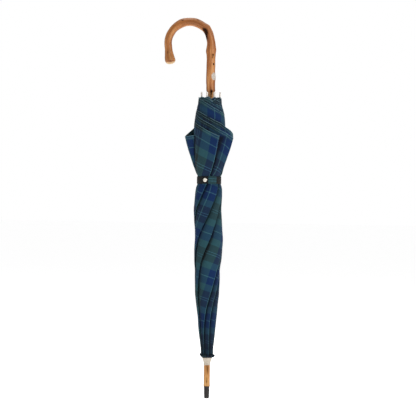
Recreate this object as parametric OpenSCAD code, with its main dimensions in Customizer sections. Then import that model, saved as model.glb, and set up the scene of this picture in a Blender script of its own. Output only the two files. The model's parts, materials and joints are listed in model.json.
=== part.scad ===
// Stick umbrella, stored furled. Millimetres. The ferrule's tip is the origin,
// +Z runs up the shaft to the crook, and the crook bends towards -X.

/* [Stick] */
// Overall height from the ferrule's tip to the top of the crook
total_h = 914; // [900:1:930]
// Diameter of the shaft
shaft_d = 13.8; // [13.4:0.1:13.8]
// Diameter of the wooden tip below the collar
tip_d = 13.9; // [13.4:0.1:14]
// Height where the handle's shoulder starts
shoulder_z = 737; // [736:1:745]
// Diameter of the handle at its shoulder
grip_d = 21; // [19:0.5:22]
// Diameter of the handle at its waist
waist_d = 18.8; // [17:0.2:20]
// Radius of the crook's bend, on its centre line
crook_r = 52; // [46:1:58]
// Diameter of the bent part of the crook
crook_d = 19.2; // [17:0.2:20]
// Angle of the bend, which leans the free end inwards past a half turn
crook_sweep = 186; // [180:1:190]
// Length of the crook's free end, below the bend
leg_h = 47; // [40:1:52]
// Largest diameter of the free end
leg_end_d = 25; // [21:0.5:26]

/* [Ferrule and collar] */
// Height of the ferrule
ferrule_h = 29.5; // [26:0.5:32]
// Diameter of the ferrule's straight length
ferrule_d = 12; // [11:0.1:12.6]
// Height of the collar's lower edge
collar_z = 80; // [74:1:82]
// Height of the collar
collar_h = 18; // [14:1:18]
// Diameter of the collar's rim
collar_rim_d = 21.6; // [20:0.2:23]
// Diameter of the cloth ruffle above the collar
ruffle_d = 35; // [30:1:37]

/* [Ribs and runner] */
// Number of ribs
rib_count = 8; // [8:8]
// Height of the rib hinges
hinge_z = 112; // [112:0.5:114]
// Radius of the circle that the rib and stretcher pivots lie on
pivot_r = 10; // [10:0.1:10.2]
// Length of a rib from its hinge to its tip
rib_len = 623; // [618:1:626]
// Diameter of a rib
rib_d = 2.8; // [2.4:0.1:2.8]
// Angle of the closed ribs, measured outwards from the shaft
closed_tilt = 1.3; // [1.2:0.05:1.35]
// Angle that the ribs open through
open_angle = 65; // [60:1:70]
// Length of a stretcher, which is also its pivot's distance along the rib
stretcher_len = 255; // [245:1:256]
// Length of the runner's sleeve
sleeve_h = 68; // [60:1:70]
// Diameter of the wires that the ribs and stretchers hang on
wire_d = 1; // [0.8:0.1:1]

/* [Canopy and strap] */
// Thickness of the furled cloth's solids
cloth_t = 3; // [2:0.5:4]
// Height of the strap's lower edge
strap_z = 514; // [512:1:515]
// Width of the strap
strap_w = 19; // [16:1:20]
// Thickness of the strap
strap_t = 1.4; // [1:0.1:1.4]
// Radius of the strap's inner face
strap_r = 27.8; // [27.8:0.1:28.2]
// Direction of the snap, around the shaft
snap_az = -111; // [-115:1:-105]
// Diameter of the snap's cap
snap_d = 9.3; // [8:0.1:11]

/* [Hidden] */
$fn = 48;

wood = [0.62, 0.40, 0.25];
steel = [0.72, 0.71, 0.68];
dark_steel = [0.22, 0.22, 0.23];
tartan = [0.13, 0.23, 0.31];

// running clearance on a radius, and the clearance of a fixed fit
run_gap = 0.06;
fix_gap = 0.02;

shaft_r = shaft_d / 2;
crook_tube_r = crook_d / 2;
bend_z = total_h - crook_r - crook_tube_r;
spigot_r = 5;
spigot_z = 6;

// the latch springs lie in slots on the shaft's front
slot_w = 2.6;
slot_floor_r = 1.6;
spring_w = 2;
spring_len = 30.5;
spring_pin_r = 0.8;
spring_pin_depth = 4.5;
spring_reach = 9.1;
keyway_w = 3;

// the runner hangs on the stretchers' inner pivots, and its travel follows from the angles
runner_z = hinge_z + 2 * stretcher_len * cos(closed_tilt);
runner_open_z = hinge_z + 2 * stretcher_len * cos(closed_tilt + open_angle);
sleeve_r = 7.7;
crown_r = 12.4;
crown_half_h = 3;
top_spring_z = runner_open_z + sleeve_h + 1 + spring_len;
hand_spring_z = runner_z + 14;
stop_pin_r = 1;
stop_pin_z = runner_open_z - crown_half_h - stop_pin_r - 0.5;

notch_r = 13;
notch_low_z = hinge_z - 5.5;
notch_h = 10.5;
notch_slot_w = 2;
notch_slot_r = 8.2;
eye_t = 1.6;
eye_r = 1.6;
shank_h = 8;
rivet_r = 0.8;

// the stretcher is a channel, with a flat tongue and an open hook at its inner end
channel_in = 3.2;
channel_wall = 0.5;
channel_back = 2.6;
channel_front = 2;
web_start = 7;
tongue_len = 34;
hook_in_r = 0.62;
hook_out_r = 1.75;

// outline of the furled cloth: [height, outer radius]
furled = [
    [107, 15.4], [140, 17.8], [188, 22.7], [236, 26.8], [298, 28.4], [332, 32.2], [452, 32.8],
    [508, 30], [513, 27.4], [534, 27.4], [560, 37], [596, 48], [627, 54], [656, 40],
    [692, 33], [720, 28.6]
];
gore_gap = 0.4;

// the cloth's inner face stays outside the ribs and the stretchers
function rib_clear_r(z) = max(13.4, pivot_r + 3.4 + (z - hinge_z - 8) * tan(closed_tilt));
function inner_r(p) = max(p[1] - cloth_t, rib_clear_r(p[0]));
function rib_az(k) = -112.5 + 360 / rib_count * (k - 1);

// a solid of revolution from [radius, height] points
module turned(points) { rotate_extrude() polygon(points); }

// local +Z runs from the rib's hinge to its tip
module at_rib(k) {
    rotate([0, 0, rib_az(k)]) translate([pivot_r, 0, hinge_z]) rotate([0, closed_tilt, 0]) children();
}

// local +Z runs from the stretcher's outer pivot to its inner end
module at_stretcher(k) {
    at_rib(k) translate([0, 0, stretcher_len]) rotate([0, -2 * closed_tilt, 0]) children();
}

module cross_pin(r, h) { rotate([90, 0, 0]) cylinder(h = h, r = r, center = true); }

module ring(r_in, r_out, h) {
    difference() {
        cylinder(h = h, r = r_out);
        translate([0, 0, -1]) cylinder(h = h + 2, r = r_in);
    }
}

module wire_ring(z) {
    translate([0, 0, z]) rotate_extrude() translate([pivot_r, 0]) circle(r = wire_d / 2);
}

// groove that a wire ring lies in, open to the outside
module wire_groove(z, r_out) {
    translate([0, 0, z - wire_d / 2 - 0.05]) ring(pivot_r - wire_d / 2 - 0.05, r_out, wire_d + 0.1);
}

module rib_slots(width, from_r, z, h) {
    for (k = [1:rib_count])
        rotate([0, 0, rib_az(k)]) translate([from_r, -width / 2, z]) cube([notch_r, width, h]);
}

// one-piece turned and bent wooden stick
module stick() {
    color(wood) difference() {
        union() {
            translate([0, 0, spigot_z]) cylinder(h = ferrule_h, r = spigot_r);
            translate([0, 0, ferrule_h]) cylinder(h = collar_z - ferrule_h, r = tip_d / 2);
            translate([0, 0, ferrule_h]) cylinder(h = 3, r1 = tip_d / 2 + 0.4, r2 = tip_d / 2 + 0.8);
            translate([0, 0, collar_z]) cylinder(h = shoulder_z - collar_z + 1, r = shaft_r);
            grip();
            bend();
            free_end();
        }
        spring_slot(top_spring_z - spring_len - 1.5, top_spring_z + 3);
        spring_slot(hand_spring_z - 3, hand_spring_z + spring_len + 1.5);
        spring_pin_holes(spring_pin_r + fix_gap, 4 * shaft_r);
        translate([0, 0, stop_pin_z]) cross_pin(stop_pin_r + fix_gap, 4 * shaft_r);
        collar_pin(0.7 + fix_gap, 4 * shaft_r);
    }
}

module grip() {
    g = grip_d / 2;
    w = waist_d / 2;
    turned([[0, shoulder_z], [g - 0.6, shoulder_z], [g, shoulder_z + 3], [g, shoulder_z + 37],
        [w, shoulder_z + 59], [w, shoulder_z + 76], [g, shoulder_z + 98],
        [crook_tube_r, bend_z], [0, bend_z]]);
}

module bend() {
    translate([-crook_r, 0, bend_z]) rotate([90, 0, 0])
        rotate_extrude(angle = crook_sweep) translate([crook_r, 0]) circle(r = crook_tube_r);
}

module free_end() {
    e = leg_end_d / 2;
    translate([-crook_r + crook_r * cos(crook_sweep), 0, bend_z + crook_r * sin(crook_sweep)])
        rotate([0, 360 - crook_sweep, 0])
            turned([[0, -3], [crook_tube_r - 0.4, -3], [crook_tube_r - 0.6, leg_h * 0.35],
                [e, leg_h - 11], [e - 1, leg_h - 4], [e - 5, leg_h - 0.8], [0, leg_h]]);
}

module spring_slot(low_z, high_z) {
    translate([-slot_w / 2, -2 * shaft_r, low_z])
        cube([slot_w, 2 * shaft_r - slot_floor_r, high_z - low_z]);
}

module spring_pin_holes(r, h) {
    for (z = [top_spring_z, hand_spring_z])
        translate([0, -spring_pin_depth, z]) rotate([0, 90, 0]) cylinder(h = h, r = r, center = true);
}

module collar_pin(r, h) { translate([0, 0, collar_z + 3.5]) cross_pin(r, h); }

// metal cup pushed over the stick's spigot
module ferrule() {
    color(dark_steel) difference() {
        union() {
            cylinder(h = 4, r1 = ferrule_d / 2 - 1.2, r2 = ferrule_d / 2);
            translate([0, 0, 4]) cylinder(h = 18, d = ferrule_d);
            translate([0, 0, 22]) cylinder(h = 3, r1 = ferrule_d / 2, r2 = ferrule_d / 2 + 0.5);
            translate([0, 0, 25]) cylinder(h = ferrule_h - 25, r = ferrule_d / 2 + 0.5);
        }
        translate([0, 0, spigot_z]) cylinder(h = ferrule_h, r = spigot_r + fix_gap);
    }
}

// flared metal cup that holds the canopy's crown against the notch
module nose_collar() {
    rim = collar_rim_d / 2;
    top = collar_z + collar_h;
    color(steel) difference() {
        turned([[0, collar_z], [tip_d / 2 + 0.6, collar_z], [rim - 1.5, top - 4], [rim, top - 4],
            [rim, top], [0, top]]);
        translate([0, 0, collar_z - 1]) cylinder(h = collar_h + 2, r = shaft_r + fix_gap);
        collar_pin(0.7 + fix_gap, 4 * shaft_r);
    }
}

module collar_nail() { color(steel) collar_pin(0.7, 2 * shaft_r + 2.8); }

// gathered ring of canopy cloth between the collar and the notch
module crown_ruffle() {
    r = ruffle_d / 2;
    z = collar_z + collar_h;
    color(tartan) difference() {
        turned([[0, z], [r - 5, z], [r, z + 3.5], [r - 1.5, notch_low_z - 0.5], [0, notch_low_z - 0.5]]);
        translate([0, 0, z - 1]) cylinder(h = 20, r = shaft_r + fix_gap);
    }
}

// slotted ring, fixed to the shaft, that the ribs are hinged in
module top_notch() {
    color(steel) difference() {
        translate([0, 0, notch_low_z]) ring(shaft_r + fix_gap, notch_r, notch_h);
        rib_slots(notch_slot_w, notch_slot_r, notch_low_z - 1, notch_h + 2);
        wire_groove(hinge_z, notch_r + 1);
    }
}

module notch_wire() { color(steel) wire_ring(hinge_z); }

// sliding sleeve with a slotted crown, and a keyway that passes over the latch springs
module runner() {
    low = runner_z - crown_half_h;
    color(steel) difference() {
        union() {
            translate([0, 0, low]) cylinder(h = 2 * crown_half_h, r = crown_r);
            translate([0, 0, low]) cylinder(h = sleeve_h + crown_half_h, r = sleeve_r);
            translate([0, 0, runner_z + sleeve_h - 3]) cylinder(h = 3, r = sleeve_r + 0.4);
        }
        translate([0, 0, low - 1]) cylinder(h = sleeve_h + 10, r = shaft_r + run_gap);
        rib_slots(2.2, sleeve_r, low - 1, 2 * crown_half_h + 2);
        wire_groove(runner_z, crown_r + 1);
        translate([-keyway_w / 2, -2 * crown_r, low - 1]) cube([keyway_w, 2 * crown_r, sleeve_h + 10]);
    }
}

module runner_wire() { color(steel) wire_ring(runner_z); }

// flat latch spring: its outline, with the pin's eye at the origin and the tooth along +Y
module latch_outline() {
    tooth = spring_reach - spring_pin_depth;
    difference() {
        union() {
            circle(r = 1.7);
            polygon([[0.4, 0], [1.6, 0], [tooth, spring_len - 2.5], [tooth, spring_len], [0.9, spring_len],
                [0.9, spring_len - 1], [tooth - 1, spring_len - 1], [tooth - 1, spring_len - 2.8]]);
        }
        circle(r = spring_pin_r + run_gap);
    }
}

// direction is 1 where the tooth is above the pin and -1 where it is below
module latch_spring(z, direction) {
    translate([0, -spring_pin_depth, z]) rotate([0, 0, -90]) mirror([0, 0, direction < 0 ? 1 : 0])
        rotate([90, 0, 0]) linear_extrude(height = spring_w, center = true) latch_outline();
}

module top_spring() { color(steel) latch_spring(top_spring_z, -1); }

module hand_spring() { color(steel) latch_spring(hand_spring_z, 1); }

module spring_pins() { color(dark_steel) spring_pin_holes(spring_pin_r, 8.4); }

module stop_pin() { color(dark_steel) translate([0, 0, stop_pin_z]) cross_pin(stop_pin_r, 17); }

// round steel rib with a flat eye at the notch and a drilled block at the stretcher
module rib(k) {
    color(dark_steel) at_rib(k) difference() {
        union() {
            cross_pin(eye_r, eye_t);
            translate([-rib_d / 2, -eye_t / 2, 0]) cube([rib_d, eye_t, shank_h]);
            translate([0, 0, shank_h - 1]) cylinder(h = rib_len - shank_h - 5, r = rib_d / 2);
            translate([-2, -rib_d / 2, stretcher_len - 4]) cube([4, rib_d, 8]);
        }
        cross_pin(wire_d / 2 + run_gap, 4);
        translate([0, 0, stretcher_len]) cross_pin(rivet_r + fix_gap, 6);
    }
}

module rib_tip(k) {
    low = rib_len - 14;
    color(steel) at_rib(k) difference() {
        union() {
            translate([0, 0, low]) cylinder(h = 12, r = 2);
            translate([0, 0, rib_len - 2]) sphere(r = 2);
        }
        translate([0, 0, low - 1]) cylinder(h = 9.1, r = rib_d / 2 + fix_gap);
    }
}

module rib_rivet(k) {
    color(steel) at_rib(k) translate([0, 0, stretcher_len]) {
        cross_pin(rivet_r, 5.2);
        for (side = [-1, 1])
            translate([0, side * 2.4, 0]) cross_pin(1.3, 0.4);
    }
}

module stretcher(k) {
    half = channel_in / 2 + channel_wall;
    channel_len = stretcher_len - tongue_len;
    color(dark_steel) at_stretcher(k) {
        difference() {
            union() {
                translate([-channel_back, -half, 0])
                    cube([channel_back + channel_front, 2 * half, channel_len]);
                cross_pin(2.3, 2 * half);
            }
            translate([channel_wall - channel_back, -channel_in / 2, -5])
                cube([2 * channel_back, channel_in, channel_len + 3]);
            translate([-2 * channel_back, -channel_in / 2, -5])
                cube([4 * channel_back, channel_in, web_start + 5]);
            cross_pin(rivet_r + run_gap, 6);
        }
        stretcher_hook(channel_len);
    }
}

// the hook is open towards the shaft and the nose, so the runner's wire can leave it
module stretcher_hook(from_z) {
    difference() {
        union() {
            translate([hook_in_r, -eye_t / 2, from_z - 2]) cube([1.6, eye_t, tongue_len + 2]);
            translate([0, 0, stretcher_len]) cross_pin(hook_out_r, eye_t);
        }
        translate([0, 0, stretcher_len]) cross_pin(hook_in_r, 4);
        translate([hook_in_r - 5, -2, stretcher_len - 5]) cube([5, 4, 5.5]);
    }
}

// one eighth of the furled cloth, as a closed solid
module canopy_gore(k) {
    step = 360 / rib_count;
    outline = concat(
        [for (p = furled) [p[1], p[0]]],
        [for (i = [len(furled) - 1:-1:0]) [inner_r(furled[i]), furled[i][0]]]
    );
    color(tartan) rotate([0, 0, rib_az(k) + gore_gap])
        rotate_extrude(angle = step - 2 * gore_gap) polygon(outline);
}

module strap_arc(from_az, to_az, thick) {
    translate([0, 0, strap_z]) rotate([0, 0, from_az]) rotate_extrude(angle = to_az - from_az)
        translate([strap_r, 0]) square([thick, strap_w]);
}

module strap_band() { color(tartan) strap_arc(-150, -32, strap_t); }

module strap_elastic() { color([0.06, 0.06, 0.07]) strap_arc(-31.8, 209.8, strap_t - 0.4); }

module at_snap(r) {
    rotate([0, 0, snap_az]) translate([r, 0, strap_z + strap_w / 2]) rotate([0, 90, 0]) children();
}

module snap_backing() {
    color([0.06, 0.06, 0.07]) at_snap(strap_r + strap_t + 0.02) ring(1.6, 6.3, 1.1);
}

module snap_stud() { color(steel) at_snap(strap_r + strap_t + 0.02) cylinder(h = 2.8, r = 1.5); }

module snap_cap() {
    color([0.85, 0.84, 0.81]) at_snap(strap_r + strap_t + 1.14) difference() {
        union() {
            cylinder(h = 0.8, d = snap_d);
            translate([0, 0, 0.8]) cylinder(h = 1.6, r1 = snap_d / 2, r2 = snap_d / 2 - 1.6);
        }
        translate([0, 0, -1]) cylinder(h = 2.75, r = 1.5 + run_gap);
    }
}

stick();
ferrule();
nose_collar();
collar_nail();
crown_ruffle();
top_notch();
notch_wire();
runner();
runner_wire();
top_spring();
hand_spring();
spring_pins();
stop_pin();
strap_band();
strap_elastic();
snap_backing();
snap_stud();
snap_cap();
for (k = [1:rib_count]) {
    rib(k);
    rib_tip(k);
    rib_rivet(k);
    stretcher(k);
    canopy_gore(k);
}
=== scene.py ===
"""Looks of a furled stick umbrella: knotted chestnut stick, wrapped tartan, strap and metal fittings."""
import json
import math

import bpy
import numpy as np
from mathutils import Matrix, Vector, noise


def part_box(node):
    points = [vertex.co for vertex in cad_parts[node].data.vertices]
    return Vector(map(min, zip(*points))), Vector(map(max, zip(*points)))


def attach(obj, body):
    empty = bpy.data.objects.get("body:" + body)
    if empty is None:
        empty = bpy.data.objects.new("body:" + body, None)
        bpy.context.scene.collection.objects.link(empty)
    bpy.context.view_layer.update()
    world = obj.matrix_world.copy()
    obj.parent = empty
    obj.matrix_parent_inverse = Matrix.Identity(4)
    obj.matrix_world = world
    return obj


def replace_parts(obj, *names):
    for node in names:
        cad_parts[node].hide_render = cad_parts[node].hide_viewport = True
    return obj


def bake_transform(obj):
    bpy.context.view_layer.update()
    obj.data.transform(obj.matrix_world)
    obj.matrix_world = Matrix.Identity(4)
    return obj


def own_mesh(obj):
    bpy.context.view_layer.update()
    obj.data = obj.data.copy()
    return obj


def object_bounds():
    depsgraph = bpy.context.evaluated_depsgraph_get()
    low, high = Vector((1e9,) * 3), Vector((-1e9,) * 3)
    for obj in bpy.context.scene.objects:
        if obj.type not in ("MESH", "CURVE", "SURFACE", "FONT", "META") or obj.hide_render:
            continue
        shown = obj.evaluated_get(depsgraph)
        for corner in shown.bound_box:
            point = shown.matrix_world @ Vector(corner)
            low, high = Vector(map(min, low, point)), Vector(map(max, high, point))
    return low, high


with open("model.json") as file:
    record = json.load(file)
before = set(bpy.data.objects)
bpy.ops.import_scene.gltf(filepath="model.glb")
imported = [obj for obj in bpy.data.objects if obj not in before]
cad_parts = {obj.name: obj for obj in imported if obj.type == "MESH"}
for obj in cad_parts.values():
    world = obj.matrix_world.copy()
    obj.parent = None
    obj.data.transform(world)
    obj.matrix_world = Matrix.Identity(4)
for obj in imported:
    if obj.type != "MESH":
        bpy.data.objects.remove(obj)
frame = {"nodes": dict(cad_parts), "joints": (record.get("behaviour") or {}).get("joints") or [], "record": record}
cad_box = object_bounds()
MM = 0.001
JOINTS = {joint["name"]: joint for joint in frame["joints"]}

# ---------------------------------------------------------------- driving sizes, in mm and degrees
TOP = cad_box[1].z / MM
FERRULE_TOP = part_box("ferrule")[1].z / MM
COLLAR_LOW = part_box("nose_collar")[0].z / MM
COLLAR_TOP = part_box("nose_collar")[1].z / MM
STRAP_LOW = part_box("strap_band")[0].z / MM
STRAP_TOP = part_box("strap_band")[1].z / MM

# stick: carved shoulder, handle's sideways shift from the shaft, crook's centre line, straight free end
SHOULDER_Z = 734.6
HANDLE_SHIFT = -0.8
CROOK_R = 51.6
CROOK_Z = TOP - 62.9
CROOK_TURN = 184.0
CROOK_END = 40.0
DOME_H = 9.5
STICK_GIRTH = 63.0

# cloth: eight gores, the furled flap's cut size, and one repeat of the tartan
GORES = 8
CROWN_Z = 105.0
FLAP_H = 562.0
FLAP_W = 240.0
SETT = 112.0

# canopy: cloth's length on a rib, the ribs' lean at rest and the angle between them
RIB_LEN = 611.0
RIB_LEAN = 1.3
RIB_GAP = 360.0 / GORES
CLOTH_OUT = 2.1
HEM_SCOOP = 22.0
PLEATS = 14
OPEN_SWELL = 18.0

# strap: sideways shift of its middle
STRAP_X = -1.3


def joint_line(name):
    """A joint's place in millimetres, and its axis."""
    return np.array(JOINTS[name]["pos_m"]) / MM, np.array(JOINTS[name]["axis"])


# ---------------------------------------------------------------- meshes
def smoothstep(x, low, high):
    t = np.clip((x - low) / (high - low), 0.0, 1.0)
    return t * t * (3 - 2 * t)


def mesh_object(name, points, faces, uvs=None, floats=None):
    """Points in millimetres; uvs are one pair a point, in metres; floats are named values a point."""
    mesh = bpy.data.meshes.new(name)
    mesh.from_pydata([tuple(p) for p in np.asarray(points) * MM], [], faces)
    mesh.polygons.foreach_set("use_smooth", [True] * len(mesh.polygons))
    if uvs is not None:
        corners = np.zeros(len(mesh.loops), dtype=np.int32)
        mesh.loops.foreach_get("vertex_index", corners)
        layer = mesh.uv_layers.new(name="UVMap")
        layer.data.foreach_set("uv", np.asarray(uvs, float)[corners].ravel())
    for key, values in (floats or {}).items():
        attribute = mesh.attributes.new(key, "FLOAT", "POINT")
        attribute.data.foreach_set("value", np.asarray(values, np.float32))
    mesh.update()
    piece = bpy.data.objects.new(name, mesh)
    bpy.context.scene.collection.objects.link(piece)
    return piece


def grid_faces(rows, cols, closed=False):
    """Quads of a grid whose points are stored row by row; closed joins the last column to the first."""
    faces = []
    for i in range(rows - 1):
        for j in range(cols if closed else cols - 1):
            k = (j + 1) % cols
            faces.append((i * cols + j, i * cols + k, (i + 1) * cols + k, (i + 1) * cols + j))
    return faces


def grid_object(name, points, uvs, floats, closed=False):
    rows, cols = points.shape[:2]
    flat_floats = {key: np.asarray(values).ravel() for key, values in floats.items()}
    faces = grid_faces(rows, cols, closed)
    return mesh_object(name, points.reshape(-1, 3), faces, uvs.reshape(-1, 2), flat_floats)


def lathe(name, profile, turns=64):
    """A closed solid of revolution about Z from (radius, height) points that start and end on the axis."""
    angles = np.arange(turns) * 2 * math.pi / turns
    inner = np.array(profile[1:-1], float)
    rings = np.stack([
        inner[:, 0, None] * np.cos(angles),
        inner[:, 0, None] * np.sin(angles),
        np.repeat(inner[:, 1, None], turns, axis=1),
    ], axis=-1)
    points = list(rings.reshape(-1, 3))
    faces = grid_faces(len(inner), turns, closed=True)
    low, high = len(points), len(points) + 1
    points += [(0, 0, profile[0][1]), (0, 0, profile[-1][1])]
    last = (len(inner) - 1) * turns
    for j in range(turns):
        k = (j + 1) % turns
        faces.append((low, k, j))
        faces.append((high, last + j, last + k))
    return mesh_object(name, points, faces)


# ---------------------------------------------------------------- node helpers
class Nodes:
    """Builds one material's node tree."""

    def __init__(self, name):
        self.material = bpy.data.materials.new(name)
        self.material.use_nodes = True
        self.tree = self.material.node_tree
        self.shader = self.tree.nodes["Principled BSDF"]

    def new(self, kind, **settings):
        node = self.tree.nodes.new(kind)
        for key, value in settings.items():
            setattr(node, key, value)
        return node

    def link(self, source, target):
        self.tree.links.new(source, target)

    def feed(self, socket, value):
        """A plain value is set on the socket, and a node's output is linked to it."""
        if isinstance(value, (int, float, tuple)):
            socket.default_value = value
        else:
            self.link(value, socket)

    def math(self, operation, *values):
        node = self.new("ShaderNodeMath", operation=operation)
        for socket, value in zip(node.inputs, values):
            self.feed(socket, value)
        return node.outputs[0]

    def mix(self, factor, first, second):
        node = self.new("ShaderNodeMix", data_type="RGBA")
        for place, value in ((0, factor), (6, first), (7, second)):
            self.feed(node.inputs[place], value)
        return node.outputs[2]

    def ramp(self, value, stops, constant=False):
        node = self.new("ShaderNodeValToRGB")
        node.color_ramp.interpolation = "CONSTANT" if constant else "LINEAR"
        elements = node.color_ramp.elements
        while len(elements) < len(stops):
            elements.new(0.5)
        for element, (place, colour) in zip(elements, stops):
            element.position = place
            element.color = colour
        self.link(value, node.inputs[0])
        return node.outputs[0]

    def mask(self, value, low, high, amount):
        """0 below low, amount above high."""
        steps = self.ramp(value, [(low, (0, 0, 0, 1)), (high, (1, 1, 1, 1))])
        return self.math("MULTIPLY", steps, amount)

    def noise(self, vector, scale, detail=3.0, rough=0.5):
        node = self.new("ShaderNodeTexNoise")
        node.inputs["Scale"].default_value = scale
        node.inputs["Detail"].default_value = detail
        node.inputs["Roughness"].default_value = rough
        self.link(vector, node.inputs["Vector"])
        return node.outputs["Fac"]

    def stretched(self, vector, scale):
        node = self.new("ShaderNodeMapping")
        node.inputs["Scale"].default_value = scale
        self.link(vector, node.inputs["Vector"])
        return node.outputs[0]

    def bump(self, height, strength, distance, below=None):
        node = self.new("ShaderNodeBump")
        node.inputs["Strength"].default_value = strength
        node.inputs["Distance"].default_value = distance
        self.link(height, node.inputs["Height"])
        if below is not None:
            self.link(below, node.inputs["Normal"])
        return node.outputs[0]

    def object_place(self):
        return self.new("ShaderNodeTexCoord").outputs["Object"]

    def uv(self):
        return self.new("ShaderNodeUVMap", uv_map="UVMap").outputs[0]

    def uv_parts(self):
        node = self.new("ShaderNodeSeparateXYZ")
        self.link(self.uv(), node.inputs[0])
        return node.outputs

    def attribute(self, name):
        return self.new("ShaderNodeAttribute", attribute_name=name).outputs["Fac"]

    def set(self, **sockets):
        for key, value in sockets.items():
            self.feed(self.shader.inputs[key.replace("_", " ")], value)


def srgb(*parts):
    """A linear colour from red, green and blue of 0 to 255."""
    levels = [part / 255.0 for part in parts]
    return tuple(v / 12.92 if v <= 0.04045 else ((v + 0.055) / 1.055) ** 2.4 for v in levels) + (1.0,)


# ---------------------------------------------------------------- materials
NAVY = srgb(7, 34, 74)
TEAL = srgb(36, 71, 78)
BLACK_GREEN = srgb(25, 35, 33)
PALE_LINE = srgb(56, 97, 108)
DOUBLE_LINE = srgb(66, 112, 130)
FADED = srgb(52, 80, 104)
FOLD_SHADE = srgb(5, 8, 14)
# thread colour of the hem's stitching, also painted as a highlight along the hem's edge
STITCH_AND_EDGE_HIGHLIGHT = srgb(98, 128, 138)
# a whole number of repeats that keeps a stripe's place positive
REPEATS = 20.0


def stripes(n, across, navy, teal):
    """Colour of one thread direction; navy and teal are how far those bands reach from the pale line."""
    line, inner, outer, half = 1.1, 2.3, 3.3, SETT / 2
    bands = [
        (0, PALE_LINE), (line, NAVY), (navy, TEAL), (teal, BLACK_GREEN),
        (half - outer, DOUBLE_LINE), (half - inner, BLACK_GREEN),
        (half + inner, DOUBLE_LINE), (half + outer, BLACK_GREEN),
        (SETT - teal, TEAL), (SETT - navy, NAVY), (SETT - line, PALE_LINE),
    ]
    setts = n.math("ADD", n.math("DIVIDE", across, SETT * MM), REPEATS)
    stops = [(place / SETT, colour) for place, colour in bands]
    return n.ramp(n.math("FRACT", setts), stops, constant=True)


def tartan(name):
    """Twill in a dark tartan: navy, teal and black-green bands with pale lines, and a sewn hem with a painted
    highlight along its edge.
    """
    twill_pitch, stitch = 1.6 * MM, 3.5 * MM
    edge_width, seam_at, seam_half_width = 1.2 * MM, 6.5 * MM, 0.5 * MM
    n = Nodes(name)
    across, along = n.uv_parts()[:2]
    warp = stripes(n, across, 18.5, 44.0)
    weft = stripes(n, along, 19.0, 35.5)
    diagonal = n.math("DIVIDE", n.math("ADD", across, along), twill_pitch)
    twill = n.math("PINGPONG", n.math("ADD", diagonal, 200 * REPEATS), 0.5)
    cloth = n.mix(n.math("MULTIPLY_ADD", twill, 0.5, 0.375), warp, weft)
    place = n.object_place()
    fade = n.noise(place, 14.0)
    cloth = n.mix(n.math("MULTIPLY", fade, 0.08), cloth, FADED)
    cloth = n.mix(n.attribute("shade"), cloth, FOLD_SHADE)
    gap = n.attribute("hem_gap")
    dash = n.math("LESS_THAN", n.math("FRACT", n.math("DIVIDE", across, stitch)), 0.6)
    # the thin pale line right at the hem's edge is a painted highlight; the dashed row further in is stitching
    edge = n.math("LESS_THAN", gap, edge_width)
    from_seam = n.math("ABSOLUTE", n.math("SUBTRACT", gap, seam_at))
    seam = n.math("MULTIPLY", n.math("LESS_THAN", from_seam, seam_half_width), dash)
    cloth = n.mix(n.math("MULTIPLY", n.math("MAXIMUM", edge, seam), 0.55), cloth, STITCH_AND_EDGE_HIGHLIGHT)
    slub = n.noise(n.stretched(place, (500.0, 500.0, 60.0)), 1.0, 2.0)
    relief = n.bump(twill, 0.25, 0.3 * MM, n.bump(slub, 0.12, 0.4 * MM))
    n.set(Base_Color=cloth, Normal=relief, Roughness=n.math("MULTIPLY_ADD", fade, 0.2, 0.66))
    n.set(Sheen_Weight=0.02, Sheen_Roughness=0.45, Specular_IOR_Level=0.1)
    return n.material


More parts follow.
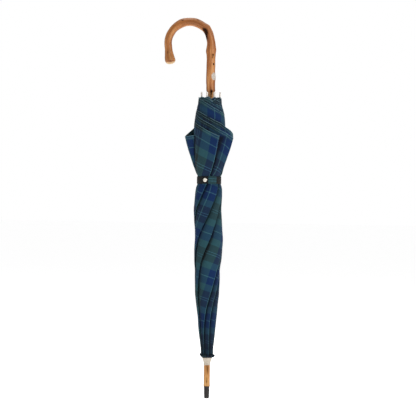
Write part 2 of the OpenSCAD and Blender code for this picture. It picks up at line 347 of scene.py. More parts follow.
def chestnut(name):
    """Peeled chestnut under satin varnish: long streaks, small dark marks, knots and pale cuts. The golden and the
    pale end-grain colours also paint light on the crook, the free end and the wood under the shoulder.
    """
    n = Nodes(name)
    grain = n.uv()
    broad = n.noise(n.stretched(grain, (26.0, 2.2, 1.0)), 4.0, 2.0, 0.5)
    fine = n.noise(n.stretched(grain, (60.0, 2.6, 1.0)), 6.0, 4.0, 0.6)
    patch = n.noise(n.stretched(grain, (24.0, 6.0, 1.0)), 2.5, 2.0)
    rings = n.noise(n.stretched(grain, (50.0, 90.0, 1.0)), 5.0, 4.0, 0.7)
    bark = n.noise(n.stretched(grain, (50.0, 16.0, 1.0)), 2.2, 3.0, 0.6)
    knot = n.attribute("knot")

    wood = n.ramp(broad, [
        (0.3, srgb(98, 48, 16)), (0.43, srgb(134, 75, 31)),
        (0.55, srgb(164, 101, 49)), (0.68, srgb(200, 144, 88)),
    ])
    wood = n.mix(n.mask(fine, 0.46, 0.66, 0.3), wood, srgb(84, 42, 18))
    wood = n.mix(n.mask(patch, 0.55, 0.72, 0.45), wood, srgb(188, 130, 84))
    golden = n.ramp(fine, [
        (0.34, srgb(108, 60, 20)), (0.5, srgb(176, 120, 62)), (0.68, srgb(212, 164, 102)),
    ])
    # golden wood where the bark is off; on the crook and the free end the same mix is painted light
    wood = n.mix(n.attribute("peeled_and_painted_light"), wood, golden)
    torn = n.ramp(bark, [(0.38, (1, 1, 1, 1)), (0.62, (0.2, 0.2, 0.2, 1))])
    broken = n.math("MULTIPLY", knot, torn)
    wood = n.mix(n.math("MINIMUM", n.math("MULTIPLY", broken, 1.5), 1.0), wood, srgb(38, 18, 8))
    # pale end grain of the crook's free end, also mixed in as painted light on the wood under the shoulder
    end_grain_and_painted_light = n.ramp(rings, [(0.3, srgb(172, 134, 92)), (0.7, srgb(206, 178, 136))])
    wood = n.mix(n.attribute("cut_and_painted_light"), wood, end_grain_and_painted_light)
    white_scar = n.ramp(rings, [(0.3, srgb(148, 136, 124)), (0.7, srgb(204, 196, 186))])
    wood = n.mix(n.attribute("scar"), wood, white_scar)

    relief = n.bump(fine, 0.25, 0.4 * MM, n.bump(broad, 0.3, 1.2 * MM, n.bump(broken, 0.5, 1.2 * MM)))
    bare = n.math("MINIMUM", knot, 1.0)
    dull = n.math("MULTIPLY_ADD", bare, 0.4, n.math("MULTIPLY_ADD", fine, 0.2, 0.34))
    n.set(Base_Color=wood, Normal=relief, Roughness=dull)
    n.set(Specular_IOR_Level=n.math("MULTIPLY_ADD", bare, -0.3, 0.32))
    n.set(Coat_Weight=0.05, Coat_Roughness=0.3)
    return n.material


def metal(name, bright, dull, rough, lines=0.0, metallic=1.0):
    """Metal with fine turned lines across Z, worn duller in patches."""
    n = Nodes(name)
    place = n.object_place()
    wear = n.noise(place, 160.0, 4.0, 0.6)
    n.set(Base_Color=n.mix(wear, bright, dull), Roughness=n.math("MULTIPLY_ADD", wear, 0.25, rough))
    n.set(Metallic=metallic)
    if lines:
        turned = n.noise(n.stretched(place, (4.0, 4.0, 1500.0)), 1.0, 2.0)
        n.set(Normal=n.bump(turned, lines, 0.3 * MM))
    return n.material


def elastic(name):
    """Black ribbed elastic."""
    rib_pitch, row_pitch = 1.1 * MM, 0.8 * MM
    n = Nodes(name)
    along, across = n.uv_parts()[:2]
    ribs = n.math("PINGPONG", n.math("DIVIDE", along, rib_pitch), 0.5)
    rows = n.math("PINGPONG", n.math("DIVIDE", across, row_pitch), 0.5)
    weave = n.math("MULTIPLY_ADD", rows, 0.4, ribs)
    fibre = n.noise(n.object_place(), 900.0, 2.0)
    n.set(Base_Color=n.mix(fibre, srgb(8, 9, 11), srgb(22, 23, 26)), Normal=n.bump(weave, 0.6, 0.5 * MM))
    n.set(Roughness=n.math("MULTIPLY_ADD", fibre, 0.2, 0.6), Specular_IOR_Level=0.2)
    return n.material


def pearl(name):
    """Snap cap that looks like nacre."""
    n = Nodes(name)
    swirl = n.noise(n.object_place(), 260.0, 3.0, 0.6)
    n.set(Base_Color=n.mix(swirl, srgb(196, 188, 172), srgb(232, 228, 218)))
    n.set(Roughness=n.math("MULTIPLY_ADD", swirl, 0.15, 0.18), Metallic=0.15, Coat_Weight=0.5)
    return n.material


def glowing_white(name, level, glow):
    """Floor of a white studio, lit a little from within so that it melts into the backdrop."""
    colour = (level, level, level, 1.0)
    n = Nodes(name)
    n.set(Base_Color=colour, Roughness=0.8, Emission_Color=colour, Emission_Strength=glow)
    return n.material


TARTAN = tartan("tartan_twill")
WOOD = chestnut("varnished_chestnut")
SILVER = metal("nickel_silver", srgb(196, 187, 173), srgb(160, 149, 133), 0.42, lines=0.15, metallic=0.5)
FERRULE_METAL = metal("burnished_horn_steel", srgb(50, 46, 46), srgb(30, 27, 27), 0.36, lines=0.7,
                      metallic=0.5)
FRAME_STEEL = metal("black_frame_steel", srgb(34, 35, 38), srgb(58, 58, 60), 0.38, metallic=0.7)
NAIL_METAL = metal("aged_nail", srgb(132, 92, 60), srgb(82, 54, 34), 0.4, metallic=0.8)
TIP_METAL = metal("bright_tip", srgb(222, 214, 206), srgb(190, 182, 174), 0.36, metallic=0.5)
WIRE_STEEL = metal("spring_wire", srgb(188, 188, 190), srgb(140, 138, 136), 0.26)
ELASTIC = elastic("black_elastic")
PEARL = pearl("pearl_cap")


def dress(piece, material):
    piece.data.materials.clear()
    piece.data.materials.append(material)
    return piece


def dress_node(node, material):
    """Gives a CAD node another material without touching its mesh."""
    for place in frame["nodes"][node].material_slots:
        place.link = "OBJECT"
        place.material = material


# ---------------------------------------------------------------- stick
SHAFT_R = 6.9
TIP_R = 7.45
# the handle's radius at lengths travelled above the shoulder
GRIP = [
    (0, 9.8), (3, 10.9), (17, 10.5), (37, 10.9), (59, 10.4), (76, 10.3), (92, 10.7), (101, 11.4),
    (114, 10.4), (125, 10.0), (200, 9.9), (277, 9.0), (292, 9.2), (304, 10.4), (314, 12.2), (322, 12.9),
]
# knots and marks of the handle: length travelled above the shoulder, direction round the stick in degrees
# (0 faces -Y, 90 faces +X), half length, half width in degrees, height, darkness (over 1 is solid)
KNOTS = [
    (-1, 8, 6, 16, 0.5, 2.6),
    (-7, 4, 5, 9, 0.0, 1.4),
    (36, 84, 7, 40, 1.7, 0.0),
    (98, 88, 14, 50, 1.0, 0.0),
    (96, -92, 6, 40, 1.2, 0.1),
    (66, 38, 2.5, 12, 0.2, 1.9),
    (88, 24, 3.4, 12, 0.3, 2.4),
    (82.5, 19, 2.4, 10, 0.2, 2.0),
    (149, -40, 10, 38, -1.3, 3.2),
    (139, -66, 13, 34, -0.4, 2.6),
    (154, 94, 6, 44, 1.8, 0.0),
    (20, -100, 9, 50, 0.6, 0.0),
    (180, 42, 3, 13, 0.2, 1.0),
    (184, 60, 11, 60, 0.8, 0.25),
    (213, 38, 3, 13, 0.2, 0.9),
    (214, 110, 12, 60, 0.9, 0.1),
    (238, 20, 10, 50, 0.5, 0.3),
    (262, 140, 12, 50, 0.6, 0.1),
    (300, 10, 5, 24, 0.2, 0.6),
]
# dark marks of the wooden tip: height, direction, half length
TIP_MARKS = [(69, 9, 10), (45, -2, 7), (58, 110, 9), (50, -120, 8)]
TIP_MARK_TURN = 13
# white scar of the handle: length travelled and direction of its middle, and its half sizes
SCAR_AT, SCAR_TURN = 36.5, 45
SCAR_HALF, SCAR_HALF_TURN = 9.2, 36


def table(pairs, x):
    """Straight lines through (x, value) pairs."""
    return np.interp(x, *zip(*pairs))


def stick_path():
    """Centre line of the stick as (point, tangent) rings from the wooden tip to the free end."""
    up = np.array([0.0, 0.0, 1.0])
    rings = [(up * z, up) for z in np.arange(FERRULE_TOP, SHOULDER_Z - 2, 6.0)]
    for z in np.arange(SHOULDER_Z - 2, CROOK_Z, 1.5):
        shift = HANDLE_SHIFT * smoothstep(z, SHOULDER_Z, SHOULDER_Z + 12)
        rings.append((np.array([shift, 0.0, z]), up))
    centre = np.array([HANDLE_SHIFT - CROOK_R, 0.0, CROOK_Z])
    for turn in np.arange(0.0, CROOK_TURN, 1.6):
        a = math.radians(turn)
        bulge = 0.022 * math.exp(-((turn - 41) / 16) ** 2)
        dent = 0.012 * math.exp(-((turn - 16) / 12) ** 2)
        outward = np.array([math.cos(a), 0.0, math.sin(a)])
        along = np.array([-math.sin(a), 0.0, math.cos(a)])
        rings.append((centre + CROOK_R * (1 + bulge - dent) * outward, along))
    last = rings[-1][0]
    for step in np.arange(1.5, CROOK_END, 1.5):
        a = math.radians(CROOK_TURN + 3.0 * step / 44)
        along = np.array([-math.sin(a), 0.0, math.cos(a)])
        flare = smoothstep(step, 18, 44)
        rings.append((last + step * along + np.array([flare, 0.0, 0.0]), along))
    return rings


def lumps(a, travel):
    """Slow and fine unevenness of the handle's surface."""
    slow = noise.noise(Vector((math.cos(a) * 0.9, math.sin(a) * 0.9, travel / 26)))
    fine = noise.noise(Vector((math.cos(a) * 2.5, math.sin(a) * 2.5, travel / 9 + 40)))
    return (0.75 * slow + 0.22 * fine) * smoothstep(travel, -4, 8)


def stick_skin(z, travel, turn):
    """Radius and darkness at a height, a length travelled above the shoulder and a direction."""
    dark = 0.0
    if travel < 0:
        r = SHAFT_R if z > COLLAR_LOW else TIP_R
    else:
        r = table(GRIP, travel)
    if travel > -16:
        r += lumps(math.radians(turn), travel)
        for place, round_at, half, half_turn, height, darkness in KNOTS:
            gap = (turn - round_at + 180) % 360 - 180
            d = ((travel - place) / half) ** 2 + (gap / half_turn) ** 2
            if d < 9:
                r += height * math.exp(-d) * (travel > -3)
                dark = max(dark, darkness * math.exp(-1.6 * d))
    elif z < COLLAR_LOW:
        r += 0.8 * math.exp(-((z - FERRULE_TOP - 1.5) / 2) ** 2)
        for height, round_at, half in TIP_MARKS:
            d = ((z - height) / half) ** 2 + ((turn - round_at) / TIP_MARK_TURN) ** 2
            dark = max(dark, 1.5 * math.exp(-1.3 * d))
    return r, dark


def stick_wear(z, travel, turn, dark):
    """Shares of golden wood where the bark is off, of pale end-grain wood and of the white scar. The golden share
    on the crook and the free end is painted light, and the pale share just under the shoulder is painted light on
    wood that the cloth shades.
    """
    # painted light: golden colour mixed into the crook, and more into the free end, lightens them
    crook = 0.12 * smoothstep(travel, 130, 180)
    free_end = 0.3 * smoothstep(travel, 276, 306)
    peeled_and_painted_light = max(1.0 - smoothstep(travel, -3.0, 1.5), crook + free_end)
    # painted light: pale end-grain colour mixed into the wood just under the shoulder lightens wood that the cloth
    # shades
    painted_light_under_shoulder = 0.15 * smoothstep(z, 690, 712) * max(0.0, 1 - 2 * dark)
    scar = ((travel - SCAR_AT) / SCAR_HALF) ** 2 + ((turn - SCAR_TURN) / SCAR_HALF_TURN) ** 2 < 1
    return peeled_and_painted_light, painted_light_under_shoulder if travel < -1 else 0.0, float(scar)


def stick():
    """The whole stick as one skin, closed at the crook's free end by a dome of end grain."""
    segments, dome_rings, uv_start = 56, 8, 800
    rings = stick_path()
    side = np.array([0.0, 1.0, 0.0])
    cols = segments + 1
    turns = [360.0 * j / segments - 180.0 for j in range(cols)]
    points, uvs = [], []
    looks = {"knot": [], "peeled_and_painted_light": [], "cut_and_painted_light": [], "scar": []}

    def add(point, j, travel, shares):
        points.append(point)
        uvs.append((j / segments * STICK_GIRTH * MM, (travel + uv_start) * MM))
        for values, share in zip(looks.values(), shares):
            values.append(share)

    spans = [float(np.linalg.norm(q - p)) for (p, _), (q, _) in zip(rings, rings[1:])]
    travels = np.concatenate([[0.0], np.cumsum(spans)])
    travels -= next(travel for (p, _), travel in zip(rings, travels) if p[2] >= SHOULDER_Z)
    for (point, along), travel in zip(rings, travels):
        out = np.cross(side, along)
        for j, turn in enumerate(turns):
            a = math.radians(turn)
            r, dark = stick_skin(point[2], travel, turn)
            skin = point + r * (out * math.sin(a) - side * math.cos(a))
            add(skin, j, travel, (dark, *stick_wear(point[2], travel, turn, dark)))

    rim = np.array(points[-cols:])
    for i in range(1, dome_rings + 1):
        a = math.radians(90 * i / dome_rings)
        ring = point + (rim - point) * max(math.cos(a), 0.02) ** 0.8 + along * DOME_H * math.sin(a)
        for j, turn in enumerate(turns):
            facing = math.cos(math.radians(turn))
            cut_and_painted_light = smoothstep(math.sin(a), 0.1 + 0.4 * facing, 0.25 + 0.4 * facing)
            add(ring[j], j, travel + 1.4 * i, (0.0, 0.0, cut_and_painted_light, 0.0))
    piece = grid_object("chestnut_stick", np.array(points).reshape(-1, cols, 3), np.array(uvs), looks)
    return dress(piece, WOOD)


# ---------------------------------------------------------------- furled cloth
# heights of the control rings, and each fold edge's direction round the stick there, in degrees
EDGE_Z = [107, 190, 272, 314, 382, 444, 512, 533, 630]
EDGES = [
    [-260, -258, -247, -235, -205, -153, -103, -88, -69],
    [-192, -190, -180, -168, -142, -85, -42, -30, -18],
    [-146, -145, -138, -128, -86, -42, 4, 14, 22],
    [-118, -105, -61, -38, 3, 20, 45, 56, 78],
    [-72, -70, -30, 8, 34, 52, 78, 85, 100],
    [-24, -24, 12, 42, 66, 80, 108, 114, 125],
    [22, 20, 48, 74, 96, 110, 138, 143, 150],
    [62, 60, 80, 100, 123, 145, 166, 172, 178],
]
# height of each flap's corner
CORNER_Z = [628.5, 625.0, 637.0, 628.0, 628.0, 628.0, 628.0, 628.0]
# how far each flap's hem has climbed above its corner, at these angles away from the corner
HEM_TURN = [0, 18, 40, 60, 90, 120, 150, 180, 205, 260]
HEM_RISE = [
    [0, 9, 18, 25, 34, 45, 55, 62, 70, 86],
    [0, 11, 20, 29, 39, 49, 58, 66, 74, 89],
    [0, 6, 14, 21, 28, 38, 48, 54, 63, 79],
    [0, 17, 35, 46, 55.5, 61.5, 69, 78.5, 86, 94],
    [0, 18, 38, 52, 63, 70, 76, 84, 92, 95],
    [0, 19, 41, 56, 69, 77, 82, 87, 92, 95],
    [0, 20, 42, 56, 70, 80, 88, 93, 95, 96],
    [0, 12, 30, 48, 64, 78, 88, 94, 96, 97],
]
# height of the bundle's top, and the dip that shows the wood in front
BUNDLE_TOP = 720.6
DIP_AT, DIP_H, DIP_HALF = -77, 9.5, 10
# (height, radius) of the wrapped cloth; the waist between 505 and 541 is under the strap
WRAP = [
    (104, 14.5), (121, 14.8), (150, 18.0), (193, 21.4), (222, 24.8), (250, 27.8), (308, 29.0), (332, 31.8),
    (356, 32.6), (400, 32.3), (452, 32.4), (492, 31.6), (505, 30.4), (511, 28.6), (514.5, 26.3),
    (532.5, 26.3), (535.5, 28.2), (541, 30.2), (560, 33.6), (596, 37.2), (627, 38.6), (660, 37.2),
    (673, 36.0), (692, 32.4), (706, 28.6), (724, 27.4),
]
# (height, sideways drift) of the bundle's middle
DRIFT = [
    (100, -0.5), (190, -1.6), (250, -2.6), (320, -2.0), (356, -0.6), (385, 0.4), (455, -3.9), (490, -1.8),
    (520, -1.3), (545, -1.2), (600, -0.6), (627, -0.6), (650, -1.6), (675, -1.2), (690, -2.0), (724, -1.6),
]
# (height, how far a fold stands out as a fin), and how many degrees its under side then spans
FIN = [(538, 0), (552, 3), (581, 9.5), (612, 17.5), (630, 21)]
FIN_MAX = 21
VALLEY = 24
FIRST_VALLEY = 13
# where the middle of the navy warp stripe lies, measured from each flap's fold
WARP_START = [0, 19, 44, 0, 0, 0, 0, -21]
# (distance from the crown along the fold, place in the tartan's weft)
WEFT = [(0, -536.6), (414.2, -SETT), (531.6, 0), (FLAP_H, 29)]


def smooth_curve(xs, ys, x):
    """Cubic pieces through the points, with one slope at each point for both pieces that meet there."""
    xs, ys = np.array(xs, float), np.array(ys, float)
    slopes = np.gradient(ys, xs)
    i = np.clip(np.searchsorted(xs, x) - 1, 0, len(xs) - 2)
    span = xs[i + 1] - xs[i]
    t = np.clip((x - xs[i]) / span, 0, 1)
    leave, arrive = t * (1 - t) ** 2, t * t * (t - 1)
    blend = t * t * (3 - 2 * t)
    return (1 - blend) * ys[i] + blend * ys[i + 1] + span * (leave * slopes[i] + arrive * slopes[i + 1])


def fold_angle(k, z):
    """Direction of flap k's fold edge at a height; k may run past 0 or 7, a turn further round."""
    return smooth_curve(EDGE_Z, EDGES[k % GORES], z) + 360 * (k // GORES)


def wrap_radius(z):
    return table(WRAP, z)


def hem_rise(k, turned, angle):
    """How far a flap's hem has climbed above its corner, below the bundle's uneven top."""
    k = k % GORES
    a = np.radians(angle)
    top = BUNDLE_TOP - CORNER_Z[k] + 1.6 * np.sin(3 * a + 1.9 * k) + 1.1 * np.sin(7 * a + k)
    dip = DIP_H * np.exp(-(((angle - DIP_AT + 180) % 360 - 180) / DIP_HALF) ** 2)
    return np.minimum(np.interp(turned, HEM_TURN, HEM_RISE[k]), top - dip)


def hem_height(k, turned, angle):
    return CORNER_Z[k % GORES] + hem_rise(k, turned, angle)


def depth_below(k, angle, z):
    """How many other flaps lie over flap k at a direction and height, with a groove beside each edge."""
    layers = np.zeros_like(angle)
    for over in range(k - GORES + 1, k):
        edge = fold_angle(over, z)
        ease = np.clip(0.55 * (fold_angle(over + 1, z) - edge), 5, 26)
        turned = edge - angle
        rise = np.clip((turned + ease) / ease, 0, 1)
        groove = 0.55 * np.exp(-(((turned + 2.5) / 4.5) ** 2))
        shown = smoothstep(hem_height(over, turned, angle) - z, -1.5, 5)
        layers = layers + (0.25 * rise + 0.75 * rise ** 4 + groove) * shown
    return layers


def soft_shade(k, angle, z, off_fold, hem_gap):
    """Darkness of a flap beside what lies on it, along its own hem, at the bundle's top and the crown."""
    clear = np.ones_like(angle)
    for over in range(k - GORES + 1, k):
        turned = fold_angle(over, z) - angle
        valley = table(FIN, z) * VALLEY / FIN_MAX
        beside = np.radians(np.maximum(-turned - valley, 0)) * wrap_radius(z)
        hem = hem_height(over, np.maximum(turned, 0), angle)
        clear = clear * (1 - 0.88 * np.exp(-beside / 7) * (turned < 0) * smoothstep(hem - z, -6, 4))
        above = z - hem
        clear = clear * (1 - 0.8 * np.exp(-np.abs(above) / 3.4) * (above > -1.0) * (turned >= 0))
    hem_dark = 0.76 if k < 3 else 0.2
    own_hem = hem_dark * smoothstep(off_fold, 26, 60) * smoothstep(hem_gap, 13, 9)
    around = (angle + 180) % 360 - 180
    pleats = 0.5 + 0.42 * np.sin(np.radians(around) * 24)
    top = pleats * smoothstep(z, 700, 710) * smoothstep(around, -72, -66) * smoothstep(around, -8, -16)
    inside = 0.34 * smoothstep(z, 694, 714)
    crown = 0.42 * smoothstep(z, 156, 112)
    return 1 - clear * (1 - own_hem) * (1 - top) * (1 - inside) * (1 - crown)


def outer_layer(k, rows, z_edge, start, fin):
    """Columns of (angle, radius, height, distance from the fold), from the fold edge round the bundle."""
    near, step, widest = 6.0, 3.0, FLAP_W - 4
    steps = np.concatenate([[0.0, 0.5, 1.2, 2.2, 3.6, near], np.arange(near + step, FLAP_W, step)])
    gap = start - fold_angle(k - 1, z_edge)
    near_hem = smoothstep(rows, 430, 556) ** 1.2
    reach = np.minimum(30 + 0.14 * rows + 125 * smoothstep(rows, 430, FLAP_H), widest)

    def radius(angle, z, out):
        turned = start - angle
        thick = np.interp(z, [100, 200, 640, 700], [1.6, 2.6, 2.6, 1.3])
        pillow = 1.3 * np.sin(math.pi * np.clip(turned / gap, 0, 1)) + 1.0 * np.exp(-turned / 10)
        spread = fin * np.clip(1 - out / (16 + 1.9 * fin), 0, 1) ** 1.35
        small = np.clip((z - 95) / 70, 0.35, 1)
        return wrap_radius(z) + small * (pillow - thick * depth_below(k, angle, z)) + spread

    angle, z, out = start, z_edge, np.zeros_like(rows)
    r = radius(angle, z, out)
    columns = [(angle, r, z, out)]
    for low, high in zip(steps, steps[1:]):
        span = (high - low) * np.where(high > near, (reach - near) / (steps[-1] - near), 1.0)
        out = out + span
        drop = np.clip(np.abs(radius(angle - np.degrees(0.9 * span / r), z, out) - r) / span, 0, 0.85)
        angle = angle - np.degrees(span * np.sqrt(0.87 - drop ** 2 * 0.8) / r)
        z = z_edge + 0.3 * out * (1 - near_hem) + hem_rise(k, start - angle, angle) * near_hem
        r = radius(angle, z, out)
        columns.append((angle, r, z, out))
    return columns


def under_layer(z_edge, start, fin, valley, wall, fold_r):
    """Columns of the layer that turns back under the fold and lies on the flap below it."""
    fine_steps = [0.5, 1.2, 2.2, 3.6, 5.5, 8, 11]
    rest_on_flap = 9
    columns = []
    for step in fine_steps + [15, 19, 23, 27, 31, 35, 39, 44]:
        u = np.minimum(step, wall + rest_on_flap)
        t = np.clip(u / wall, 0, 1)
        past = np.maximum(u - wall, 0)
        r = fold_r - fin * (1 - (1 - t) ** 1.25) - 1.0 * (1 - np.exp(-u / 1.2)) - 0.42 * past
        angle = start + valley * np.sin(0.5 * math.pi * t) - np.degrees(0.8 * past / fold_r)
        columns.append((angle, r, z_edge + 0.1 * u, -u))
    return columns


def creases(k, a, z, out, height):
    """Soft ripples and long creases of the cloth, calm under the strap and at the crown."""
    ripple = [
        noise.noise(Vector((math.cos(x) * 1.3 + k, math.sin(x) * 1.3, y / 60)))
        for x, y in zip(a.ravel(), z.ravel())
    ]
    crease = [
        noise.noise(Vector((x / 9 + 9 * k, y / 70, 3.0)))
        for x, y in zip(out.ravel(), height.ravel())
    ]
    uneven = (0.9 * np.array(ripple) + 0.5 * np.array(crease)).reshape(a.shape)
    return uneven * smoothstep(z, 104, 170) * (1 - 0.7 * np.exp(-(((z - 523) / 16) ** 2)))


def wrapped_flap(k):
    """One gore folded on its middle and wrapped round the bundle: outer layer, fold, under layer."""
    rows = np.concatenate([
        np.linspace(0, 440, 66), np.linspace(447, FLAP_H - 4, 38), [FLAP_H - 1.5, FLAP_H],
    ])
    z_edge = CROWN_Z + rows * (CORNER_Z[k] - CROWN_Z) / FLAP_H
    start = fold_angle(k, z_edge)
    fin = table(FIN, z_edge)
    valley = (FIRST_VALLEY if k == 0 else VALLEY) * fin / FIN_MAX
    wall = 1.05 * np.hypot(fin, np.radians(valley) * (wrap_radius(z_edge) + fin / 2)) + 0.01
    outer = outer_layer(k, rows, z_edge, start, fin)
    under = under_layer(z_edge, start, fin, valley, wall, fold_r=outer[0][1])
    angle, r, z, out = (np.stack(part, axis=1) for part in zip(*(under[::-1] + outer)))
    height = np.repeat(rows[:, None], angle.shape[1], axis=1)
    a = np.radians(angle)
    r = r + creases(k, a, z, out, height)
    points = np.stack([table(DRIFT, z) + r * np.cos(a), r * np.sin(a), z], axis=-1)
    uvs = np.stack([out - WARP_START[k], table(WEFT, height)], axis=-1) * MM
    under_shade = 0.9 * smoothstep(-out, 0.7 * wall[:, None], wall[:, None] + 0.5) * (fin[:, None] > 2)
    shade = np.where(out > 0, soft_shade(k, angle, z, out, FLAP_H - height), under_shade)
    looks = {"hem_gap": (FLAP_H - height) * MM, "shade": shade}
    return dress(grid_object(f"furled_flap_{k + 1}", points, uvs, looks), TARTAN)


# ---------------------------------------------------------------- canopy gores, pleated at rest
# half the angle at a gore's point in degrees, its cosine, and where the tartan's weft starts
GORE_TAPER = 20.5
GORE_SLANT = 0.937
GORE_WEFT = -523


def turn_about(points, pivot, axis, angle):
    """Points turned about an axis through pivot; angle may differ for each point."""
    p = points - pivot
    c, s = np.cos(angle)[..., None], np.sin(angle)[..., None]
    return pivot + p * c + np.cross(axis, p) * s + axis * (p @ axis)[..., None] * (1 - c)


def open_rib(direction, hinge, tilt):
    """Start and direction of the cloth's edge along an open rib that points this way from the shaft."""
    up = np.array([0, 0, 1.0])
    start = direction * np.hypot(hinge[0], hinge[1]) + up * hinge[2]
    outside = direction * math.cos(tilt) - up * math.sin(tilt)
    return start + CLOTH_OUT * outside, direction * math.sin(tilt) + up * math.cos(tilt)


def open_gore(hinge, axis, tilt, reach, e):
    """Points of a taut gore: e runs from -1 to 1 between two ribs, and reach is the way along them."""
    out = np.cross(axis, [0, 0, 1.0])
    gap = math.radians(RIB_GAP)
    start_a, along_a = open_rib(out, hinge, tilt)
    start_b, along_b = open_rib(out * math.cos(gap) + axis * math.sin(gap), hinge, tilt)
    share = (e + 1)[..., None] / 2
    edge_a = start_a + reach[..., None] * along_a
    edge_b = start_b + reach[..., None] * along_b
    normal = np.cross(along_a, along_b)
    normal *= math.copysign(1, normal[2]) / np.linalg.norm(normal)
    swell = OPEN_SWELL * (reach / RIB_LEN) ** 0.8 * (1 - e * e)
    return (1 - share) * edge_a + share * edge_b + normal * swell[..., None]


def pleat_offset(reach, half, e):
    """How far each point lies from the gore's middle plane when the gore is folded in pleats."""
    from_shaft = 10 + reach * math.sin(math.radians(RIB_LEAN))
    rib_side = from_shaft * math.sin(math.radians(RIB_GAP / 2))
    depth = half / (2 * PLEATS + 0.86)
    spread = np.maximum(rib_side + 0.8 - depth, 0)
    first_turn = (1 - np.clip((rib_side - spread) / depth, -1, 1)) / 4
    turns = first_turn + (e + 1) / 2 * (PLEATS + 0.5 - 2 * first_turn)
    return e * spread + depth * (1 - 4 * np.abs(turns % 1 - 0.5))


def canopy_gore(number):
    """A gore between two ribs, and each point's share of the turn from its first rib to the second.

    Its open shape is set out first. Then each point is taken back to the furled bundle with its rib, and
    about the gore's own hinge as far as brings it to its place in the pleats.
    """
    travel = JOINTS["runner_slide"]["range_m"][1]
    ratios = {row["joint"]: row["ratio"] for row in frame["record"]["behaviour"]["couplings"]}
    rib_turn = ratios[f"rib_{number}_hinge"] * travel
    gore_turn = ratios[f"gore_{number}_hinge"] * travel
    hinge, axis = joint_line(f"rib_{number}_hinge")
    pivot, spin = joint_line(f"gore_{number}_hinge")
    spin /= np.linalg.norm(spin)

    rows, cols, first_row = 40, PLEATS * 8 + 5, 3
    s = (np.linspace(0, 1, rows) ** 0.9)[:, None]
    e = np.linspace(-1, 1, cols)[None, :]
    reach = first_row + s * (RIB_LEN - first_row - HEM_SCOOP * (1 - e * e))
    half = reach * math.tan(math.radians(GORE_TAPER)) * GORE_SLANT
    shape = open_gore(hinge, axis, rib_turn + math.radians(RIB_LEAN), reach, e)
    pulled = turn_about(shape, hinge, axis, np.full(shape.shape[:2], -rib_turn))

    middle = math.radians(RIB_GAP / 2)
    aside = axis * math.cos(middle) - np.cross(axis, [0, 0, 1.0]) * math.sin(middle)
    p = pulled - pivot
    along = (p @ spin)[..., None] * spin
    flat = p - along
    first, second = flat @ aside, -(np.cross(spin, flat) @ aside)
    lean = np.arctan2(second, first)
    wanted = (pleat_offset(reach, half, e) - along @ aside) / np.hypot(first, second)
    offset = np.arccos(np.clip(wanted, -1, 1))
    options = (np.stack([lean - offset, lean + offset]) + math.pi) % (2 * math.pi) - math.pi
    best = np.argmin(np.abs(options - gore_turn / 2), axis=0)
    turned = np.take_along_axis(options, best[None], axis=0)[0]
    weight = np.clip(turned / gore_turn, 0, 1)
    weight[:, 0], weight[:, -1] = 0, 1

    rest = turn_about(pulled, pivot, spin, -weight * gore_turn)
    uvs = np.stack([e * half, reach * GORE_SLANT + GORE_WEFT], axis=-1) * MM
    hem_gap = (RIB_LEN - HEM_SCOOP * (1 - e * e) - reach) * MM
    piece = grid_object(f"canopy_cloth_{number}", rest, uvs, {"hem_gap": hem_gap})
    return dress(piece, TARTAN), weight


def blend_gore(piece):
    """Bakes a gore's placement into its mesh."""
    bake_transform(piece)


# ---------------------------------------------------------------- crown, strap and fittings
def crown_ruffle():
    """Gathered ring of cloth above the collar: deep pleats that fan out under the wrapped canopy."""
    turns, rows, pleats = 180, 14, 17
    inner_r, low, height = 10.2, COLLAR_TOP - 0.4, 10.5
    points = np.zeros((rows, turns, 3))
    uvs = np.zeros((rows, turns, 2))
    shade = np.zeros((rows, turns))
    for i in range(rows):
        t = i / (rows - 1)
        swell = math.sin(math.pi * min(1, t * 1.05))
        for j in range(turns):
            a = 2 * math.pi * j / turns
            pleat = math.sin(pleats * a + 1.3 * math.sin(3 * a)) * math.sin(math.pi * min(t * 1.2, 1))
            droop = 1.6 * math.sin(2 * a + 0.9) + 0.8 * math.sin(3 * a) - 0.8 * math.cos(a)
            bulge = 7.0 * swell ** 0.6 * (1 - 0.25 * t) + 1.7 * max(math.cos(a), 0) * swell
            r = inner_r + bulge + 1.1 * pleat
            z = low + height * t + droop * t * 0.6 + 1.6 * (1 - math.cos(a)) * swell
            points[i, j] = (r * math.cos(a) - 0.5, r * math.sin(a), z)
            shade[i, j] = 0.72 - 0.24 * pleat
            uvs[i, j] = (a * 0.02, t * 0.02 - SETT / 2 * MM)
    looks = {"hem_gap": np.ones(rows * turns), "shade": shade}
    return dress(grid_object("gathered_crown", points, uvs, looks, closed=True), TARTAN)


def band(name, radius, thick, low, high, from_angle, to_angle):
    """A closed flat band bent round the bundle, with the tartan's middle line along it."""
    count = max(8, int(abs(to_angle - from_angle) / 3))
    angles = np.radians(np.linspace(from_angle, to_angle, count))
    edge = 0.8
    section = [(0, low), (thick * 0.7, low), (thick, low + edge),
               (thick, high - edge), (thick * 0.7, high), (0, high)]
    points, uvs = [], []
    for a in angles:
        wave = 0.12 * math.sin(5 * a)
        for depth, z in section:
            r = radius + wave + depth
            points.append((STRAP_X + r * math.cos(a), r * math.sin(a), z + 0.35 * math.sin(3 * a)))
            uvs.append(((r * (a - angles[0]) + 19) * MM, (z - (low + high) / 2 + SETT / 2) * MM))
    cols = len(section)
    faces = []
    for i in range(count - 1):
        for j in range(cols):
            k = (j + 1) % cols
            faces.append((i * cols + j, (i + 1) * cols + j, (i + 1) * cols + k, i * cols + k))
    faces.append(tuple(range(cols)))
    faces.append(tuple((count - 1) * cols + j for j in reversed(range(cols))))
    return mesh_object(name, points, faces, uvs, {"hem_gap": np.ones(len(points))})


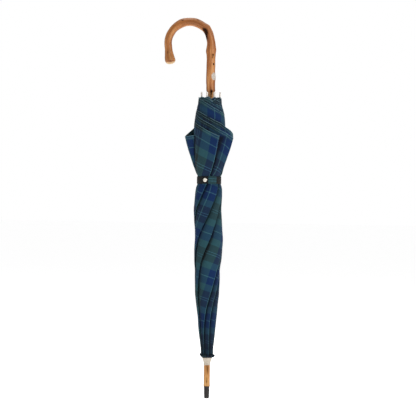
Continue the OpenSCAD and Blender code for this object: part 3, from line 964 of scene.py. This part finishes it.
def strap():
    """The tartan part right of the snap, and the narrower elastic from it round the back to the snap."""
    low, high, narrower = STRAP_LOW + 0.3, STRAP_TOP - 0.3, 0.4
    tartan_part = band("strap_tartan", 28.5, 0.9, low, high, -94, -53)
    elastic_part = band("strap_stretch", 28.4, 0.8, low + narrower, high - narrower, -55, 268)
    return dress(tartan_part, TARTAN), dress(elastic_part, ELASTIC)


def ferrule():
    """Slightly flared cup with fine turned grooves and a bead at its top."""
    grooves, first, groove_depth = 22, 4, 0.14
    profile = [(0, 0), (4.4, 0), (5.1, 0.4), (5.75, 1.6), (6.1, 3.4)]
    for i in range(grooves):
        z = first + i
        r = 6.15 + 0.026 * i
        bottom = r - groove_depth
        profile += [(r, z), (r, z + 0.55), (bottom, z + 0.7), (bottom, z + 0.85)]
    profile += [(6.75, 26.2), (6.95, 27), (7.0, 28.6), (6.85, 29.3), (6.2, FERRULE_TOP), (0, FERRULE_TOP)]
    return dress(lathe("ferrule_cup", profile), FERRULE_METAL)


def nose_collar():
    """Flared cup with a small bead at its foot and a rolled rim."""
    z, top = COLLAR_LOW, COLLAR_TOP
    profile = [
        (0, z), (7.5, z), (7.75, z + 0.2), (7.8, z + 0.8), (7.7, z + 1.4), (7.9, z + 3), (8.4, z + 6),
        (9.2, z + 9), (10.2, z + 12), (11.1, z + 14.6), (11.7, z + 16.4), (11.9, z + 17),
        (12.0, top - 0.6), (11.8, top - 0.1), (11.3, top), (0, top),
    ]
    return dress(lathe("collar_cup", profile), SILVER)


def rib_tip(number):
    """A plain end cap with a rounded end, along its rib."""
    profile = [
        (0, 608.6), (1.5, 608.7), (1.8, 609.2), (1.85, 610), (1.85, 620.6),
        (1.75, 621.6), (1.4, 622.4), (0.8, 622.9), (0, 623),
    ]
    hinge, axis = joint_line(f"rib_{number}_hinge")
    piece = dress(lathe(f"rib_end_{number}", profile, turns=24), TIP_METAL)
    lean = Matrix.Rotation(math.radians(RIB_LEAN), 4, Vector(axis))
    piece.data.transform(Matrix.Translation(Vector(hinge) * MM) @ lean)
    return piece


# ---------------------------------------------------------------- stage
def studio_light():
    """White backdrop for the camera, and a dimmer white all round for the light on the object."""
    world = bpy.data.worlds.new("studio")
    bpy.context.scene.world = world
    world.use_nodes = True
    tree = world.node_tree
    white = (1.0, 1.0, 1.0, 1.0)
    soft = tree.nodes["Background"]
    soft.inputs["Color"].default_value = white
    soft.inputs["Strength"].default_value = 0.4
    backdrop = tree.nodes.new("ShaderNodeBackground")
    backdrop.inputs["Color"].default_value = white
    seen = tree.nodes.new("ShaderNodeLightPath")
    choice = tree.nodes.new("ShaderNodeMixShader")
    tree.links.new(seen.outputs["Is Camera Ray"], choice.inputs[0])
    tree.links.new(soft.outputs[0], choice.inputs[1])
    tree.links.new(backdrop.outputs[0], choice.inputs[2])
    tree.links.new(choice.outputs[0], tree.nodes["World Output"].inputs["Surface"])


def lamp(name, place, size, power):
    """A soft square light, in metres and watts, that points at the umbrella's middle."""
    data = bpy.data.lights.new(name, "AREA")
    data.energy = power
    data.size = size
    light = bpy.data.objects.new(name, data)
    light.location = place
    middle = Vector((0, 0, 0.5))
    aim = middle - Vector(place)
    light.rotation_euler = aim.to_track_quat("-Z", "Y").to_euler()
    bpy.context.scene.collection.objects.link(light)


def stage():
    reach, level = 60000, -6
    corners = [(x * reach, y * reach, level) for x, y in ((-1, -1), (1, -1), (1, 1), (-1, 1))]
    floor = mesh_object("pale_floor", corners, [(0, 1, 2, 3)])
    dress(floor, glowing_white("pale_floor", 0.93, glow=0.66))
    studio_light()
    lamp("key", (2.2, -2.3, 1.5), size=1.2, power=38.0)
    lamp("fill", (-2.4, -2.0, 0.9), size=1.6, power=6.0)
    lamp("back", (0.6, 2.4, 1.8), size=1.6, power=14.0)
    lamp("ceiling", (0.2, 0.6, 4.0), size=3.0, power=95.0)


def camera():
    """Straight on from the front and far away, rolled a little as the picture is."""
    view_width, distance, sensor = 998.4 * MM, 5.0, 36.0
    data = bpy.data.cameras.new("camera")
    data.sensor_width = sensor
    data.lens = sensor * distance / view_width
    eye = bpy.data.objects.new("camera", data)
    eye.location = (-2.9 * MM, -distance, 456.7 * MM)
    eye.rotation_euler = (math.radians(90), math.radians(-0.82), 0)
    bpy.context.scene.collection.objects.link(eye)
    bpy.context.scene.camera = eye
    bpy.context.scene.view_settings.view_transform = "Standard"


# ---------------------------------------------------------------- assembly
camera()
stage()

for make, node in ((stick, "stick"), (ferrule, "ferrule"), (nose_collar, "nose_collar")):
    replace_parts(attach(make(), "stick_body"), node)
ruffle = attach(crown_ruffle(), "stick_body")
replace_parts(ruffle, "crown_ruffle")

for index in range(GORES):
    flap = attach(wrapped_flap(index), "stick_body")
    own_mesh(flap)

for number in range(1, GORES + 1):
    cloth, weights = canopy_gore(number)
    blend_gore(cloth)
    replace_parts(cloth, f"canopy_gore_{number}")
    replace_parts(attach(rib_tip(number), f"rib_{number}_body"), f"rib_tip_{number}")
    dress_node(f"rib_{number}", FRAME_STEEL)
    dress_node(f"stretcher_{number}", FRAME_STEEL)
    dress_node(f"rib_rivet_{number}", WIRE_STEEL)

for piece, node in zip(strap(), ("strap_band", "strap_elastic")):
    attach(piece, "strap_body")
    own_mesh(piece)
    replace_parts(piece, node)

for node, material in (
    ("collar_nail", NAIL_METAL), ("top_notch", FRAME_STEEL), ("notch_wire", WIRE_STEEL),
    ("runner", FRAME_STEEL), ("runner_wire", WIRE_STEEL), ("top_spring", WIRE_STEEL),
    ("hand_spring", WIRE_STEEL), ("spring_pins", WIRE_STEEL), ("stop_pin", WIRE_STEEL),
    ("snap_backing", ELASTIC), ("snap_stud", SILVER), ("snap_cap", PEARL),
):
    dress_node(node, material)
